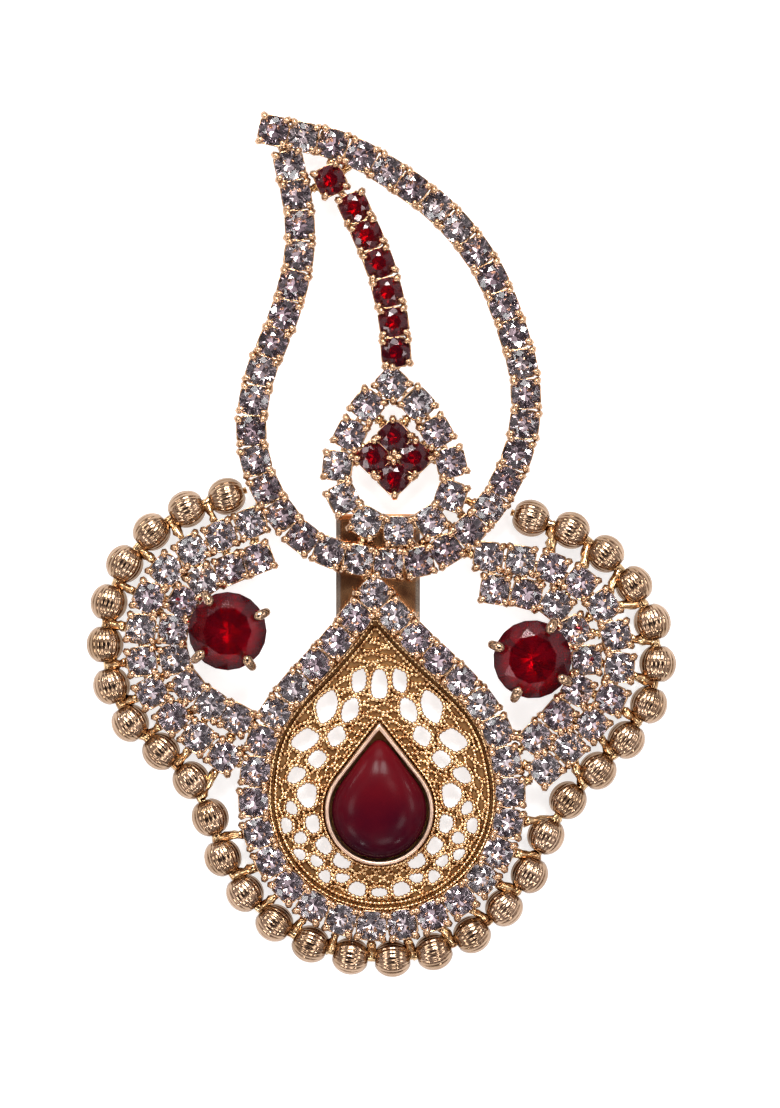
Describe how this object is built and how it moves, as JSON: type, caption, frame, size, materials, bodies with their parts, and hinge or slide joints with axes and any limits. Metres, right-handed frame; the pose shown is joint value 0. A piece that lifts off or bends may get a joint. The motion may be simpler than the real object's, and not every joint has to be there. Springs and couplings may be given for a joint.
{
  "type": "kalgi",
  "caption": "Turban jewel: a leaf of set stones over a pierced pear plate with a red cabochon, wings with red round stones, an edge of gold beads and a flat clip on the back.",
  "frame": {"origin": "under the middle of the jewel's outline, on the surface it lies on", "axes": "+Y towards the tip of the leaf, +Z out of the jewelled face, +X to the right of someone looking at the face"},
  "size_m": [0.0882, 0.1288, 0.0088],
  "materials": {
    "clear_stones": "faceted, foil backed, in gold cups",
    "red_stones": "faceted, foil backed",
    "cabochon_red": "smooth polished dome",
    "rose_gold": "bright gold plate",
    "yellow_gold": "gold-plated twisted wire"
  },
  "bodies": {
    "root": {"leaf_chain": "clear_stones", "stem_chain": "red_stones", "arch_chain": "clear_stones", "red_cluster": "red_stones", "left_wing_outer_chain": "clear_stones", "left_wing_inner_chain": "clear_stones", "right_wing_outer_chain": "clear_stones", "right_wing_inner_chain": "clear_stones", "pear_border_chain": "clear_stones", "filigree_plate": "yellow_gold", "cabochon_bezel": "rose_gold", "cabochon": "cabochon_red", "left_chaton": "red_stones", "left_chaton_setting": "rose_gold", "right_chaton": "red_stones", "right_chaton_setting": "rose_gold", "bead_wire": "rose_gold", "back_clip": "rose_gold", "bead_01": "rose_gold", "bead_02": "rose_gold", "bead_03": "rose_gold", "bead_04": "rose_gold", "bead_05": "rose_gold", "bead_06": "rose_gold", "bead_07": "rose_gold", "bead_08": "rose_gold", "bead_09": "rose_gold", "bead_10": "rose_gold", "bead_11": "rose_gold", "bead_12": "rose_gold", "bead_13": "rose_gold", "bead_14": "rose_gold", "bead_15": "rose_gold", "bead_16": "rose_gold", "bead_17": "rose_gold", "bead_18": "rose_gold", "bead_19": "rose_gold", "bead_20": "rose_gold", "bead_21": "rose_gold", "bead_22": "rose_gold", "bead_23": "rose_gold", "bead_24": "rose_gold", "bead_25": "rose_gold", "bead_26": "rose_gold", "bead_27": "rose_gold", "bead_28": "rose_gold", "bead_29": "rose_gold", "bead_30": "rose_gold", "bead_31": "rose_gold", "bead_32": "rose_gold"}
  },
  "joints": []
}
